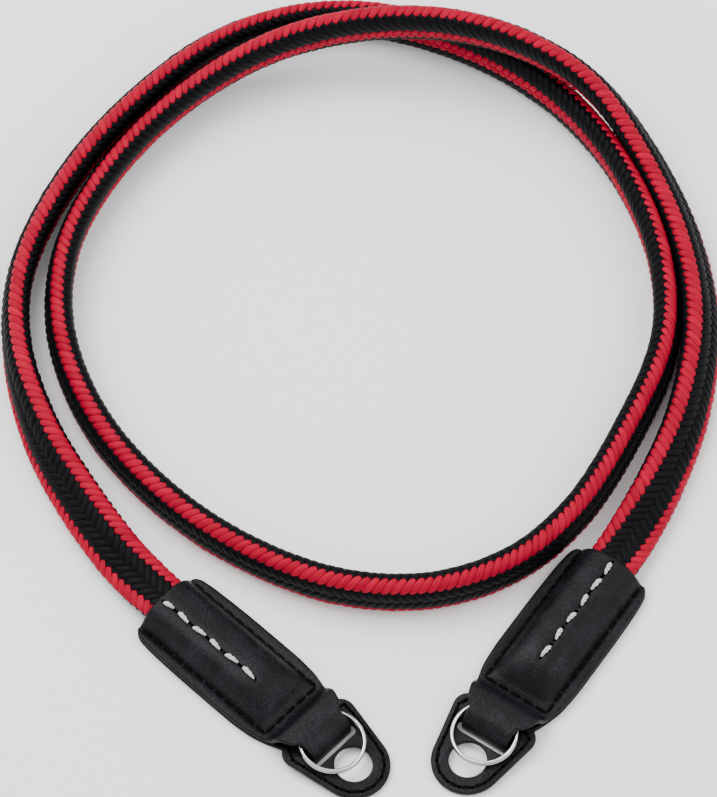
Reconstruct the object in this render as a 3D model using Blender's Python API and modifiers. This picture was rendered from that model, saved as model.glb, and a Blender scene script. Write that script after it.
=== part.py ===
"""Braided camera strap that lies on a surface in a loose coil of nearly two turns.

Metres, +Z up. The origin is on the surface, midway between the two leather ends.
Each end is a tab: its own frame starts at the pocket's mouth, with +X towards the ring.
"""

import math
from typing import NamedTuple

import bmesh
import bpy
import numpy as np

MM = 0.001

# Cord
CORD_WIDTH = 0.0129
CORD_THICKNESS = 0.0068
CORD_SQUARENESS = 2.3
CORD_SIDES = 12
CORD_STATIONS = 80
CORD_REST_LIFT = 0.00015

# The seam draws the leather tight, so the cord is squeezed in its pocket.
CORD_SQUEEZE = 0.73
SQUEEZED_END = 0.034
SQUEEZE_RUN = 0.014

# With Blender's Z-up twist, a positive tilt rolls the section the other way.
CORD_ROLL_HAND = -1

# Leather tab
LEATHER = 0.0012
TAB_LENGTH = 0.0546
TAB_WIDTH = 0.0230
NECK_WIDTH = 0.0125
POCKET_WIDTH = 0.0168
FOLD_ROUND = 0.0012
SHOULDER_LENGTH = 0.0042

# Split ring
RING_DIAMETER = 0.0160
RING_WIRE = 0.0010
RING_TURNS = 1.9
RING_TURN_GAP = 0.00006
RING_BACK = 0.0001

# Guard
GUARD_THICKNESS = 0.0013
GUARD_WIDTH = 0.0220
GUARD_CORNER = 0.0036
GUARD_BACK = 0.0078
GUARD_NOSE = 0.0087
LUG_HOLE = 0.0090
LUG_REACH = 0.0070
SLOT_LENGTH = 0.0142
SLOT_WIDTH = 0.0028
SLOT_SHOW = 0.0004

# Clearances
GAP = 0.0003
FOLD_CLEARANCE = 0.00045

COLLECTION = "coiled_camera_strap"

# How finely the curves are divided
SPAN_STEPS = 24
FOLD_STEPS = 4
SHOULDER_STEPS = 5
RING_STEPS = 26
NOSE_STEPS = 14
CORNER_STEPS = 6
SLOT_END_STEPS = 4
HOLE_STEPS = 16


class Stop(NamedTuple):
    """A point of the cord's route: its place in plan, how far it has rolled, and its lift."""

    x: float
    y: float
    roll: float
    lift: float


# Chosen by eye, in millimetres and degrees. A roll of 0 lies flat, and 90 stands on edge.
# The lift is the height of the cord's lowest side over the surface.
ROUTE = (
    Stop(-33.4, -1.3, 0, 1.35),
    Stop(-42.8, 7.6, 0, 1.35),
    Stop(-53.6, 18.0, 0, 1.3),
    Stop(-64.5, 29.8, 26, 0.3),
    Stop(-74.9, 45.5, 38, 0),
    Stop(-83.6, 62.3, 57, 0),
    Stop(-89.6, 83.8, 76, 0),
    Stop(-89.7, 103.8, 80, 0),
    Stop(-83.0, 124.1, 79, 0),
    Stop(-68.6, 147.3, 77, 0),
    Stop(-46.4, 169.1, 74, 0),
    Stop(-29.0, 177.4, 77, 0),
    Stop(-12.4, 179.5, 84, 0),
    Stop(3.6, 177.1, 90, 0),
    Stop(18.3, 171.7, 93, 0),
    Stop(31.9, 163.6, 92, 0),
    Stop(44.7, 152.0, 90, 0),
    Stop(56.9, 133.6, 86, 0),
    Stop(65.3, 108.8, 81, 0),
    Stop(65.6, 86.8, 79, 0),
    Stop(56.9, 63.2, 79, 0),
    Stop(43.1, 39.4, 83, 0),
    Stop(28.1, 25.9, 87, 0),
    Stop(9.1, 19.2, 89, 0),
    Stop(-12.4, 20.3, 89, 0),
    Stop(-33.9, 29.1, 88, 0),
    Stop(-53.9, 44.0, 85, 0),
    Stop(-70.7, 65.2, 82, 0),
    Stop(-79.4, 89.8, 80, 0),
    Stop(-78.4, 112.9, 78, 0),
    Stop(-67.7, 136.0, 76, 0),
    Stop(-49.8, 155.7, 76, 1.7),
    Stop(-29.9, 166.8, 79, 5.8),
    Stop(-8.4, 170.1, 81, 11.2),
    Stop(13.1, 169.0, 81, 13.5),
    Stop(32.3, 163.2, 76, 13.4),
    Stop(48.8, 153.8, 68, 9.8),
    Stop(61.0, 139.4, 61, 3.4),
    Stop(71.1, 116.6, 59, 0),
    Stop(74.5, 92.8, 56, 0),
    Stop(71.1, 68.8, 49, 0),
    Stop(64.4, 50.2, 38, 0),
    Stop(58.2, 37.9, 20, 0.5),
    Stop(52.1, 27.7, 0, 1.3),
    Stop(43.7, 15.3, 0, 1.35),
    Stop(36.4, 4.5, 0, 1.35),
)


class Section(NamedTuple):
    """A cut across the tab's top layer, as shares.

    along: of the tab's length. width: of its width. pocket: of the rise over the cord.
    arch: of the rise over the ring's wire.
    """

    along: float
    width: float
    pocket: float
    arch: float


TOP_SECTIONS = (
    Section(0.000, 0.86, 1.00, 0),
    Section(0.012, 0.91, 1.00, 0),
    Section(0.045, 0.94, 1.00, 0),
    Section(0.180, 0.97, 1.00, 0),
    Section(0.330, 0.99, 1.00, 0),
    Section(0.480, 1.00, 1.00, 0),
    Section(0.555, 1.00, 0.99, 0),
    Section(0.605, 1.00, 0.92, 0),
    Section(0.650, 0.99, 0.72, 0),
    Section(0.690, 0.96, 0.40, 0),
    Section(0.730, 0.91, 0.07, 0),
    Section(0.762, 0.87, 0.00, 0.02),
    Section(0.785, 0.84, 0.00, 0.20),
    Section(0.810, 0.80, 0.00, 0.66),
    Section(0.838, 0.75, 0.00, 0.95),
    Section(0.865, 0.71, 0.00, 1.00),
    Section(0.895, 0.67, 0.00, 1.00),
)
BOTTOM_ALONG = (0.0, 0.012, 0.045, 0.2, 0.4, 0.61, 0.706, 0.785, 0.838, 0.895)

# Half of the pocket's cut: share of its half width, share of its rise.
POCKET_CUT = (
    (0, 1),
    (0.27, 0.985),
    (0.5, 0.92),
    (0.68, 0.79),
    (0.8, 0.60),
    (0.88, 0.41),
    (0.945, 0.17),
    (1, 0.02),
)


class Side(NamedTuple):
    """Where an end lies: the mouth of its pocket in plan, its heading, and its ring's hand."""

    name: str
    mouth_x: float
    mouth_y: float
    heading: float
    ring_split: float


SIDES = (
    Side("left", -0.0536, 0.0180, -43.7, 250),
    Side("right", 0.0521, 0.0277, -124.0, 215),
)

# Heights in a tab's frame
BASE_MID = LEATHER / 2
FLANGE_MID = LEATHER + GAP + LEATHER / 2
CORD_FLOOR = LEATHER + GAP
POCKET_MID = CORD_FLOOR + CORD_THICKNESS * CORD_SQUEEZE + GAP + LEATHER / 2
GUARD_SEAT = LEATHER + FOLD_CLEARANCE
GUARD_REACH = LUG_REACH + GUARD_NOSE
TILT = math.atan2(GUARD_SEAT - GAP / 2, GUARD_REACH)
RING_RADIUS = (RING_DIAMETER - RING_WIRE) / 2
RING_PITCH = RING_WIRE + RING_TURN_GAP
RING_LOW = GUARD_THICKNESS / 2 + GAP + RING_WIRE / 2
RING_TOP = RING_LOW + RING_TURNS * RING_PITCH + RING_WIRE / 2
ARCH_MID = (
    GUARD_SEAT + GUARD_THICKNESS / 2 + RING_TOP
    + math.sin(TILT) * (RING_DIAMETER / 2 + RING_BACK) + GAP + LEATHER / 2
)


def clear_scene():
    for obj in list(bpy.data.objects):
        bpy.data.objects.remove(obj, do_unlink=True)


def new_collection(name, hidden=False):
    made = bpy.data.collections.new(name)
    bpy.context.scene.collection.children.link(made)
    made.hide_render = hidden
    return made


def material(name, colour, roughness, metallic=0.0):
    made = bpy.data.materials.new(name)
    made.use_nodes = True
    shader = made.node_tree.nodes["Principled BSDF"]
    shader.inputs["Base Color"].default_value = (*colour, 1)
    shader.inputs["Roughness"].default_value = roughness
    shader.inputs["Metallic"].default_value = metallic
    return made


def new_object(name, data, collection, finish=None, parent=None):
    made = bpy.data.objects.new(name, data)
    collection.objects.link(made)
    made.parent = parent
    if finish:
        data.materials.append(finish)
    return made


def poly_curve(name, points, closed=False, flat=False):
    curve = bpy.data.curves.new(name, "CURVE")
    curve.dimensions = "2D" if flat else "3D"
    add_spline(curve, points, closed)
    return curve


def add_spline(curve, points, closed):
    spline = curve.splines.new("POLY")
    spline.points.add(len(points) - 1)
    for held, place in zip(spline.points, points):
        held.co = (*place, 1) if len(place) == 3 else (*place, 0, 1)
    spline.use_cyclic_u = closed
    return spline


def smooth_route(stops, count):
    """Points at even steps along the curve that runs through the stops, centripetal Catmull-Rom."""
    given = np.array(stops, float)
    steps = np.sqrt(np.linalg.norm(np.diff(given[:, :2], axis=0), axis=1))
    given = np.vstack([2 * given[0] - given[1], given, 2 * given[-1] - given[-2]])
    knots = np.concatenate([[-steps[0], 0], np.cumsum(steps)])
    knots = np.append(knots, knots[-1] + steps[-1])
    fine = [
        on_span(given[i - 1 : i + 3], knots[i - 1 : i + 3], at)
        for i in range(1, len(given) - 2)
        for at in np.linspace(knots[i], knots[i + 1], SPAN_STEPS, endpoint=False)
    ]
    fine = np.array([*fine, given[-2]])
    length = np.concatenate([[0], np.cumsum(np.linalg.norm(np.diff(fine[:, :2], axis=0), axis=1))])
    at = np.linspace(0, length[-1], count)
    return np.stack([np.interp(at, length, column) for column in fine.T], axis=1)


def on_span(points, knots, at):
    """The place between the middle two of four points."""
    once = [blend(points[k], points[k + 1], knots[k], knots[k + 1], at) for k in range(3)]
    twice = [blend(once[k], once[k + 1], knots[k], knots[k + 2], at) for k in range(2)]
    return blend(twice[0], twice[1], knots[1], knots[2], at)


def blend(first, last, start, end, at):
    return ((end - at) * first + (at - start) * last) / (end - start)


def half_height(roll):
    """Half of the rolled cord's height, for an oval of the cord's squareness."""
    power = CORD_SQUARENESS / (CORD_SQUARENESS - 1)
    wide = np.abs(CORD_WIDTH / 2 * np.sin(roll)) ** power
    thick = np.abs(CORD_THICKNESS / 2 * np.cos(roll)) ** power
    return (wide + thick) ** (1 / power)


def squeeze_along(route):
    """The share of the cord's full size at each point of the route, less in the pockets."""
    steps = np.linalg.norm(np.diff(route[:, :2], axis=0), axis=1) * MM
    at = np.concatenate([[0], np.cumsum(steps)])
    from_end = np.minimum(at, at[-1] - at)
    return np.interp(from_end, [SQUEEZED_END, SQUEEZED_END + SQUEEZE_RUN], [CORD_SQUEEZE, 1])


def oval(width, height, squareness, sides):
    """Points round an oval that is squarer than an ellipse."""
    points = []
    for k in range(sides):
        turn = -2 * math.pi * (k + 0.5) / sides
        c, s = math.cos(turn), math.sin(turn)
        x = math.copysign(abs(c) ** (2 / squareness), c) * width / 2
        y = math.copysign(abs(s) ** (2 / squareness), s) * height / 2
        points.append((x, y))
    return points


def build_cord(parts, guides, finish):
    """The whole cord, from the bottom of one pocket to the bottom of the other."""
    section = poly_curve(
        "cord_section", oval(CORD_WIDTH, CORD_THICKNESS, CORD_SQUARENESS, CORD_SIDES), True, True
    )
    section_guide = new_object("cord_section", section, guides)
    section_guide.hide_render = True
    section_guide.display_type = "WIRE"
    route = smooth_route([(s.x, s.y, s.roll, s.lift) for s in ROUTE], CORD_STATIONS)
    roll = np.radians(route[:, 2])
    squeeze = squeeze_along(route)
    height = half_height(roll) * squeeze + route[:, 3] * MM + CORD_REST_LIFT
    points = np.column_stack([route[:, :2] * MM, height])
    curve = poly_curve("cord", points.tolist())
    curve.twist_mode = "Z_UP"
    curve.bevel_mode = "OBJECT"
    curve.bevel_object = section_guide
    curve.use_fill_caps = True
    for held, turn, share in zip(curve.splines[0].points, roll, squeeze):
        held.tilt = CORD_ROLL_HAND * turn
        held.radius = share
    return new_object("cord", curve, parts, finish)


def half_width(along_share, sections):
    """Half of the tab's width there, between the table's sections."""
    share = np.interp(along_share, [s.along for s in sections], [s.width for s in sections])
    return share * TAB_WIDTH / 2


def strip_stations():
    """The strip's middle line: from the mouth under the cord, round the fold and back over it.

    Each station is x, height, half width, pocket share.
    """
    narrow = NECK_WIDTH / 2
    stations = [
        (share * TAB_LENGTH, BASE_MID, half_width(share, TOP_SECTIONS), 0) for share in BOTTOM_ALONG
    ]
    fold = TAB_LENGTH - FOLD_ROUND
    for k in range(FOLD_STEPS + 1):
        turn = math.pi / 2 * k / FOLD_STEPS
        x = fold + FOLD_ROUND * math.sin(turn)
        stations.append((x, BASE_MID + FOLD_ROUND * (1 - math.cos(turn)), narrow, 0))
    low = GUARD_SEAT + GUARD_THICKNESS
    for k in range(1, SHOULDER_STEPS + 1):
        turn = math.pi / 2 * k / SHOULDER_STEPS
        x = TAB_LENGTH - SHOULDER_LENGTH * (1 - math.cos(turn))
        stations.append((x, low + (ARCH_MID - low) * math.sin(turn), narrow, 0))
    for section in reversed(TOP_SECTIONS):
        height = FLANGE_MID + (ARCH_MID - FLANGE_MID) * section.arch
        width = half_width(section.along, TOP_SECTIONS)
        stations.append((section.along * TAB_LENGTH, height, width, section.pocket))
    return stations


def build_tab(name, parts, finish, frame):
    """One leather strip, folded round its ring and its guard, with a pocket for the cord."""
    across = [-1.0, *(-share for share, _ in reversed(POCKET_CUT))]
    across = [*across, *(share for share, _ in POCKET_CUT[1:]), 1.0]
    rises = [0, *(rise for _, rise in reversed(POCKET_CUT)), *(rise for _, rise in POCKET_CUT[1:]), 0]
    stations = strip_stations()
    sheet = bmesh.new()
    bmesh.ops.create_grid(sheet, x_segments=len(stations) - 1, y_segments=len(across) - 1, size=1)
    columns = len(across)
    order = sorted(sheet.verts, key=lambda v: (round(v.co.x, 6), round(v.co.y, 6)))
    for index, vert in enumerate(order):
        x, height, width, pocket = stations[index // columns]
        column = index % columns
        foot = min(POCKET_WIDTH / 2, width - LEATHER)
        y = across[column] * (width if column in (0, columns - 1) else foot)
        vert.co = (x, y, height + (POCKET_MID - FLANGE_MID) * pocket * rises[column])
    mesh = bpy.data.meshes.new(name)
    sheet.to_mesh(mesh)
    sheet.free()
    tab = new_object(name, mesh, parts, finish, frame)
    wall = tab.modifiers.new("leather", "SOLIDIFY")
    wall.thickness = LEATHER
    wall.offset = 0
    wall.use_even_offset = True
    mesh.shade_smooth()
    return tab


def arc(centre, radius, start, end, steps):
    """Points on an arc, by its angles in degrees."""
    turns = [math.radians(start + (end - start) * k / steps) for k in range(steps + 1)]
    return [(centre[0] + radius * math.cos(t), centre[1] + radius * math.sin(t)) for t in turns]


def guard_outline():
    """A D with round corners: straight behind the neck, round about the lug hole."""
    corner_x = GUARD_CORNER - GUARD_BACK
    corner_y = GUARD_WIDTH / 2 - GUARD_CORNER
    reach = math.hypot(LUG_REACH - corner_x, corner_y)
    lean = math.degrees(math.atan2(corner_y, LUG_REACH - corner_x))
    lean += -math.degrees(math.asin((GUARD_NOSE - GUARD_CORNER) / reach))
    flank = 90 - lean
    nose = arc((LUG_REACH, 0), GUARD_NOSE, -flank, flank, NOSE_STEPS)
    left = arc((corner_x, corner_y), GUARD_CORNER, flank, 180, CORNER_STEPS)
    right = arc((corner_x, -corner_y), GUARD_CORNER, 180, 360 - flank, CORNER_STEPS)
    return nose + left + right


def slot_outline():
    end = SLOT_WIDTH / 2
    reach = SLOT_LENGTH / 2 - end
    far = arc((SLOT_SHOW, reach), end, 0, 180, SLOT_END_STEPS)
    return far + arc((SLOT_SHOW, -reach), end, 180, 360, SLOT_END_STEPS)


def build_guard(name, parts, finish, frame):
    """The guard's plate, with its lug hole and the slot that the neck goes down through."""
    curve = poly_curve(name, guard_outline(), True, True)
    add_spline(curve, slot_outline(), True)
    hole = arc((LUG_REACH, 0), LUG_HOLE / 2, 0, 360, HOLE_STEPS)
    add_spline(curve, hole[:-1], True)
    curve.fill_mode = "BOTH"
    curve.extrude = GUARD_THICKNESS / 2
    return new_object(name, curve, parts, finish, frame)


def build_ring(name, parts, finish, frame, split):
    """Two turns of wire side by side, lying on the guard."""
    steps = round(RING_STEPS * RING_TURNS)
    points = []
    for k in range(steps + 1):
        turns = RING_TURNS * k / steps
        turn = math.radians(split) + 2 * math.pi * turns
        x = RING_RADIUS * math.cos(turn) - RING_BACK
        points.append((x, RING_RADIUS * math.sin(turn), RING_LOW + RING_PITCH * turns))
    curve = poly_curve(name, points)
    curve.bevel_depth = RING_WIRE / 2
    curve.bevel_resolution = 2
    curve.use_fill_caps = True
    return new_object(name, curve, parts, finish, frame)


def build_end(side, parts, finishes):
    """One end of the strap: its tab, and its guard and ring on their tilted seat."""
    frame = new_object(f"{side.name}_end", None, parts)
    frame.location = (side.mouth_x, side.mouth_y, 0)
    frame.rotation_euler = (0, 0, math.radians(side.heading))
    seat = new_object(f"{side.name}_seat", None, parts, parent=frame)
    seat.location = (TAB_LENGTH, 0, GUARD_SEAT + GUARD_THICKNESS / 2)
    seat.rotation_euler = (0, TILT, 0)
    build_tab(f"{side.name}_tab", parts, finishes["tab"], frame)
    build_guard(f"{side.name}_guard", parts, finishes["guard"], seat)
    build_ring(f"{side.name}_ring", parts, finishes["ring"], seat, side.ring_split)


def main():
    clear_scene()
    parts = new_collection(COLLECTION)
    guides = new_collection("guides", hidden=True)
    finishes = {
        "tab": material("tab_leather", (0.022, 0.022, 0.026), 0.5),
        "guard": material("guard_leather", (0.024, 0.024, 0.028), 0.6),
        "ring": material("ring_steel", (0.72, 0.72, 0.72), 0.22, 1.0),
    }
    build_cord(parts, guides, material("cord_braid", (0.62, 0.02, 0.06), 0.45))
    for side in SIDES:
        build_end(side, parts, finishes)


main()
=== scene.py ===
"""Looks of the coiled camera strap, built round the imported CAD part.

Metres, +Z up. The origin is on the surface, midway between the two leather ends, and
each end has its own frame: it starts at the pocket's mouth, with +X towards the ring.
"""

import logging
import math
from dataclasses import dataclass
from enum import Enum
from typing import NamedTuple

import bmesh
import bpy
import numpy as np
from bmesh.types import BMesh
from bpy.types import Material, Node, NodeSocket, Object
from mathutils import Matrix, Vector


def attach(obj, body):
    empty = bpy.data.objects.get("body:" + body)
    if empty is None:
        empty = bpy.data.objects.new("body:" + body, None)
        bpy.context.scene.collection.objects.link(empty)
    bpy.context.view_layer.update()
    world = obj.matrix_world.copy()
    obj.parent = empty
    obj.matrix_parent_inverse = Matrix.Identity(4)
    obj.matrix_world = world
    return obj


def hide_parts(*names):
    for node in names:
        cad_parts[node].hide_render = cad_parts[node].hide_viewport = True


log = logging.getLogger("strap")
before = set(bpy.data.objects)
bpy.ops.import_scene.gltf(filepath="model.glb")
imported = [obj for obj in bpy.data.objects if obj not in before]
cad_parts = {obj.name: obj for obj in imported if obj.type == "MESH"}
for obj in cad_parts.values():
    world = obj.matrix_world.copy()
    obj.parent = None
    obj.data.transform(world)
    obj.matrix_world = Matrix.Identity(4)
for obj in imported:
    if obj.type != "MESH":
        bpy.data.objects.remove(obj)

MM = 0.001
SEED = 7

# How near two points are merged, in the skins of curves, lofts and the core.
CURVE_WELD = 1e-7
LOFT_WELD = 2e-6
CORE_WELD = 1e-6

Array = np.ndarray
Pair = tuple[float, float]
Colour = tuple[float, float, float]


class Stop(NamedTuple):
    """A point of the cord's route: millimetres in plan, degrees of roll, millimetres of lift."""

    x: float
    y: float
    roll: float
    lift: float


# The route's own points, the same as the part's. A roll of 0 lies flat, and 90 stands on edge.
ROUTE = tuple(Stop(*row) for row in (
    (-33.4, -1.3, 0, 1.35), (-42.8, 7.6, 0, 1.35), (-53.6, 18.0, 0, 1.3),
    (-64.5, 29.8, 26, 0.3), (-74.9, 45.5, 38, 0), (-83.6, 62.3, 57, 0), (-89.6, 83.8, 76, 0),
    (-89.7, 103.8, 80, 0), (-83.0, 124.1, 79, 0), (-68.6, 147.3, 77, 0), (-46.4, 169.1, 74, 0),
    (-29.0, 177.4, 77, 0), (-12.4, 179.5, 84, 0), (3.6, 177.1, 90, 0), (18.3, 171.7, 93, 0),
    (31.9, 163.6, 92, 0), (44.7, 152.0, 90, 0), (56.9, 133.6, 86, 0), (65.3, 108.8, 81, 0),
    (65.6, 86.8, 79, 0), (56.9, 63.2, 79, 0), (43.1, 39.4, 83, 0), (28.1, 25.9, 87, 0),
    (9.1, 19.2, 89, 0), (-12.4, 20.3, 89, 0), (-33.9, 29.1, 88, 0), (-53.9, 44.0, 85, 0),
    (-70.7, 65.2, 82, 0), (-79.4, 89.8, 80, 0), (-78.4, 112.9, 78, 0), (-67.7, 136.0, 76, 0),
    (-49.8, 155.7, 76, 1.7), (-29.9, 166.8, 79, 5.8), (-8.4, 170.1, 81, 11.2),
    (13.1, 169.0, 81, 13.5), (32.3, 163.2, 76, 13.4), (48.8, 153.8, 68, 9.8),
    (61.0, 139.4, 61, 3.4), (71.1, 116.6, 59, 0), (74.5, 92.8, 56, 0), (71.1, 68.8, 49, 0),
    (64.4, 50.2, 38, 0), (58.2, 37.9, 20, 0.5), (52.1, 27.7, 0, 1.3), (43.7, 15.3, 0, 1.35),
    (36.4, 4.5, 0, 1.35),
))
CORD_WIDTH = 0.0129
CORD_THICKNESS = 0.0068
CORD_SQUARENESS = 2.3
CORD_REST_LIFT = 0.00015

# In its pocket the cord is squeezed flatter.
CORD_SQUEEZE = 0.73
SQUEEZED_END = 0.034
SQUEEZE_RUN = 0.014


def lengths_along(points: Array) -> Array:
    """The length from the first point to each, along the line through them."""
    steps = np.linalg.norm(np.diff(points, axis=0), axis=1)
    return np.concatenate([[0], np.cumsum(steps)])


def unit(vectors: Array) -> Array:
    """Vectors at length 1, along the last axis."""
    return vectors / np.linalg.norm(vectors, axis=-1, keepdims=True)


def moved(points: Array, to: Matrix) -> Array:
    """Points taken by a matrix."""
    turn = np.array(to)
    return points @ turn[:3, :3].T + turn[:3, 3]


class Yarn(Enum):
    """The colours of the cord's yarn."""

    RED = "red"
    BLACK = "black"


@dataclass(frozen=True)
class CordPoint:
    """Places along the cord, with its wide axis, its face's normal and its share of thickness."""

    place: Array
    wide: Array
    normal: Array
    squeeze: Array


class Route:
    """The cord's centreline with its roll, by length from the left end."""

    STEPS = 40

    def __init__(self, stops: tuple[Stop, ...]) -> None:
        fine = self._smooth(np.array(stops, float))
        self._roll = np.radians(fine[:, 2])
        self._squeeze = self._squeeze_along(fine)
        half_height = self._half_height(self._roll) * self._squeeze
        height = half_height + fine[:, 3] * MM + CORD_REST_LIFT
        self.points = np.column_stack([fine[:, :2] * MM, height])
        self.at = lengths_along(self.points)
        self.length = float(self.at[-1])
        self._run = unit(np.gradient(self.points, self.at, axis=0))

    @classmethod
    def _smooth(cls, given: Array) -> Array:
        """Centripetal Catmull-Rom through the stops.

        Args:
            given: one row per stop.

        Returns:
            The fine rows, in the same columns.
        """
        steps = np.sqrt(np.linalg.norm(np.diff(given[:, :2], axis=0), axis=1))
        rows = np.vstack([2 * given[0] - given[1], given, 2 * given[-1] - given[-2]])
        knots = np.concatenate([[-steps[0], 0], np.cumsum(steps)])
        knots = np.append(knots, knots[-1] + steps[-1])
        fine = []
        for i in range(1, len(rows) - 2):
            p, t = rows[i - 1 : i + 3], knots[i - 1 : i + 3]
            for at in np.linspace(t[1], t[2], cls.STEPS, endpoint=False):
                once = [cls._blend(p[k : k + 2], t[k], t[k + 1], at) for k in range(3)]
                twice = [cls._blend(once[k : k + 2], t[k], t[k + 2], at) for k in range(2)]
                fine.append(cls._blend(twice, t[1], t[2], at))
        fine.append(rows[-2])
        return np.array(fine)

    @staticmethod
    def _blend(rows: Array | list, start: float, end: float, at: float) -> Array:
        """The place between two rows at a knot."""
        return ((end - at) * rows[0] + (at - start) * rows[1]) / (end - start)

    @staticmethod
    def _half_height(roll: Array) -> Array:
        """Half of the rolled cord's height."""
        power = CORD_SQUARENESS / (CORD_SQUARENESS - 1)
        wide = np.abs(CORD_WIDTH / 2 * np.sin(roll)) ** power
        thick = np.abs(CORD_THICKNESS / 2 * np.cos(roll)) ** power
        return (wide + thick) ** (1 / power)

    @staticmethod
    def _squeeze_along(fine: Array) -> Array:
        """The share of the cord's full thickness at each fine row."""
        at = lengths_along(fine[:, :2] * MM)
        from_end = np.minimum(at, at[-1] - at)
        return np.interp(from_end, [SQUEEZED_END, SQUEEZED_END + SQUEEZE_RUN], [CORD_SQUEEZE, 1])

    def frames(self, at: Array) -> CordPoint:
        """The cord's frame at each length.

        Args:
            at: lengths from the left end, of any shape.

        Returns:
            The frames, with one more axis of three than the lengths.
        """
        place = self._read(self.points, at)
        run = unit(self._read(self._run, at))
        roll = np.interp(at, self.at, self._roll)[..., None]
        side = unit(np.cross(run, (0.0, 0.0, 1.0)))
        up = np.cross(side, run)
        wide = side * np.cos(roll) + up * np.sin(roll)
        normal = up * np.cos(roll) - side * np.sin(roll)
        return CordPoint(place, wide, normal, np.interp(at, self.at, self._squeeze))

    def _read(self, rows: Array, at: Array) -> Array:
        """Rows read off at lengths."""
        return np.stack([np.interp(at, self.at, column) for column in rows.T], axis=-1)


class OvalSection:
    """The cord's cross-section, by the share of its girth from the upper tip over the face."""

    COUNT = 720

    def __init__(self, width: float, thickness: float, squareness: float) -> None:
        turn = np.linspace(0, 2 * math.pi, self.COUNT + 1)
        c, s = np.cos(turn), np.sin(turn)
        power = 2 / squareness
        self.x = np.sign(c) * np.abs(c) ** power * width / 2
        self.y = np.sign(s) * np.abs(s) ** power * thickness / 2
        at = lengths_along(np.column_stack([self.x, self.y]))
        self.girth = float(at[-1])
        self.share = at / at[-1]
        slope = squareness - 1
        nx = np.sign(self.x) * np.abs(self.x / (width / 2)) ** slope / (width / 2)
        ny = np.sign(self.y) * np.abs(self.y / (thickness / 2)) ** slope / (thickness / 2)
        self.nx, self.ny = unit(np.column_stack([nx, ny])).T

    def at(self, share: Array, out: Array) -> tuple[Array, Array]:
        """Places on the section, moved outwards.

        Args:
            share: shares of the girth, which may pass 0 or 1.
            out: how far each place is moved along its outward normal.

        Returns:
            The places along the wide axis, and along the face's normal.
        """
        turn = np.mod(share, 1.0)
        columns = (self.x, self.y, self.nx, self.ny)
        x, y, nx, ny = (np.interp(turn, self.share, column) for column in columns)
        return x + nx * out, y + ny * out


class Graph:
    """A new material, with short words for adding nodes to it."""

    def __init__(self, name: str, given: dict[str, float]) -> None:
        self.material = bpy.data.materials.new(name)
        self.material.use_nodes = True
        self._nodes = self.material.node_tree.nodes
        self._links = self.material.node_tree.links
        self._shader = self._nodes["Principled BSDF"]
        self.feed(self._shader, given)

    def feed(self, node: Node, given: dict[str | int, float | NodeSocket]) -> None:
        """Puts numbers on a node's inputs, and links sockets to them."""
        for name, value in given.items():
            if isinstance(value, NodeSocket):
                self._links.new(value, node.inputs[name])
            else:
                node.inputs[name].default_value = value

    def add(self, kind: str, **given: float | NodeSocket) -> Node:
        """A new node, with what its inputs are given."""
        node = self._nodes.new(f"ShaderNode{kind}")
        self.feed(node, given)
        return node

    def place(self) -> NodeSocket:
        """The place in Object coordinates."""
        return self.add("TexCoord").outputs["Object"]

    def noise(self, place: NodeSocket, scale: float, detail: float = 2.0) -> NodeSocket:
        """Noise at a place, from 0 to 1."""
        return self.add("TexNoise", Vector=place, Scale=scale, Detail=detail).outputs["Fac"]

    def times(self, value: NodeSocket, factor: float) -> NodeSocket:
        """A value times a number."""
        node = self.add("Math")
        node.operation = "MULTIPLY"
        self.feed(node, {0: value, 1: factor})
        return node.outputs["Value"]

    def spread(self, share: NodeSocket, low: float, high: float) -> NodeSocket:
        """A value between two, by a share from 0 to 1."""
        node = self.add("MapRange", Value=share)
        self.feed(node, {"To Min": low, "To Max": high})
        return node.outputs["Result"]

    def ramp(self, share: NodeSocket, low: Colour, high: Colour, start=0.0, end=1.0) -> NodeSocket:
        """A colour between two, which changes between two values of the share.

        Args:
            share: the socket that it goes by.
            low: the colour up to the start.
            high: the colour from the end on.
            start: the share where the change starts.
            end: the share where it ends.

        Returns:
            The colour's socket.
        """
        node = self.add("ValToRGB", Fac=share)
        first, last = node.color_ramp.elements
        first.position, first.color = start, (*low, 1)
        last.position, last.color = end, (*high, 1)
        return node.outputs["Color"]

    def bump(self, height: NodeSocket, strength: float, distance: float, **under) -> NodeSocket:
        """A normal raised by a height, over another one's where Normal is given."""
        node = self.add("Bump", Height=height, Strength=strength, Distance=distance, **under)
        return node.outputs["Normal"]

    def finish(self, given: dict[str, NodeSocket]) -> Material:
        """Links sockets to the shader's, and gives the material."""
        self.feed(self._shader, given)
        return self.material


def matte(name: str, grain: float, low: Colour, high: Colour) -> Material:
    """A matt material that wavers between two colours, with a grain on Object coordinates."""
    graph = Graph(name, {"Roughness": 0.9})
    return graph.finish({"Base Color": graph.ramp(graph.noise(graph.place(), grain), low, high)})


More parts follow.
